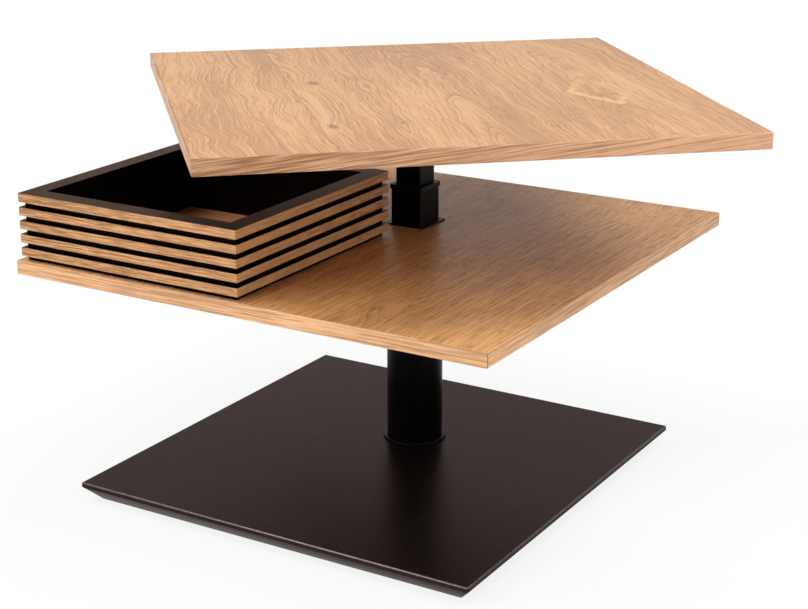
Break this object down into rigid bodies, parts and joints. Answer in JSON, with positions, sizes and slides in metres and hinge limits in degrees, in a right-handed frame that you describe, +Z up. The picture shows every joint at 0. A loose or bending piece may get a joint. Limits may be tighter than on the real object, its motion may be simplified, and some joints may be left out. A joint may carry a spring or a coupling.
{
  "type": "coffee table",
  "caption": "Coffee table with a square oak top that lifts and swivels on an off-centre column, over a square shelf with a loose slatted tray and a flat base plate.",
  "frame": {"origin": "on the floor under the middle of the base plate", "axes": "+Z up; X along the front edges of the base and shelf, +X to the right seen from the front; +Y to the back, towards the column"},
  "size_m": [0.975, 0.9749, 0.5578],
  "materials": {
    "black_board": "matt black lacquer on fibreboard",
    "felt": "pressed felt",
    "zinc": "zinc plated",
    "black_steel": "satin black powder coat",
    "bright_steel": "ground steel",
    "black_plastic": "moulded black",
    "white_plastic": "plain sliding plastic",
    "oak_veneer": "satin lacquered light oak veneer",
    "oak_edge": "satin lacquered oak edging"
  },
  "bodies": {
    "base": {"base_plate": "black_board", "base_glide_1": "felt", "base_glide_2": "felt", "base_glide_3": "felt", "base_glide_4": "felt", "base_screw_1": "zinc", "base_screw_2": "zinc", "base_screw_3": "zinc", "base_screw_4": "zinc", "column_flange": "black_steel", "guide_tube_foot": "zinc", "column_tube": "black_steel", "shelf_plate": "black_steel", "shelf_screw_1": "zinc", "shelf_screw_2": "zinc", "shelf_screw_3": "zinc", "shelf_screw_4": "zinc", "shelf_board": "oak_veneer", "shelf_edge_front": "oak_edge", "shelf_edge_back": "oak_edge", "shelf_edge_left": "oak_edge", "shelf_edge_right": "oak_edge", "guide_tube": "black_steel", "shelf_cover_plate": "black_steel", "guide_collar": "black_plastic", "gas_cylinder": "black_steel"},
    "lift": {"lift_tube": "black_steel", "lift_shoe": "black_plastic", "head_plate": "black_steel", "rod_bracket": "zinc", "gas_rod": "bright_steel", "gas_piston": "bright_steel", "swivel_lower_plate": "zinc", "lever_bracket": "black_steel", "lever_pin": "zinc"},
    "top": {"top_board": "oak_veneer", "top_edge_front": "oak_edge", "top_edge_back": "oak_edge", "top_edge_left": "oak_edge", "top_edge_right": "oak_edge", "swivel_upper_plate": "zinc", "swivel_ring": "white_plastic", "swivel_clip": "bright_steel", "top_screw_1": "zinc", "top_screw_2": "zinc", "top_screw_3": "zinc", "top_screw_4": "zinc"},
    "lever": {"release_lever": "black_steel", "lever_grip": "black_plastic"},
    "valve": {"valve_pin": "bright_steel"},
    "tray": {"tray_wall_front": "black_board", "tray_wall_right": "black_board", "tray_wall_back": "black_board", "tray_wall_left": "black_board", "tray_floor": "oak_veneer"}
  },
  "joints": [
    {"name": "top_lift", "type": "slide", "parent": "base", "child": "lift", "axis": [0, 0, 1], "range_m": [-0.0915, 0.053]},
    {"name": "top_swivel", "type": "hinge", "parent": "lift", "child": "top", "pos_m": [0, 0.082, 0.5337], "axis": [0, 0, 1], "continuous": true},
    {"name": "lever_pull", "type": "hinge", "parent": "lift", "child": "lever", "pos_m": [0, 0.118, 0.5123], "axis": [1, 0, 0], "range_deg": [0, 4], "stiffness_Nm_per_rad": 20, "springref_deg": -1.15},
    {"name": "valve_press", "type": "slide", "parent": "lift", "child": "valve", "axis": [0, 0, -1], "range_m": [0, 0.0026]},
    {"name": "tray_slide", "type": "slide", "parent": "base", "child": "tray", "axis": [1, 0, 0], "range_m": [0, 0.34]}
  ],
  "couplings": [
    {"joint": "valve_press", "follows": "lever_pull", "m_per_rad": 0.036}
  ]
}
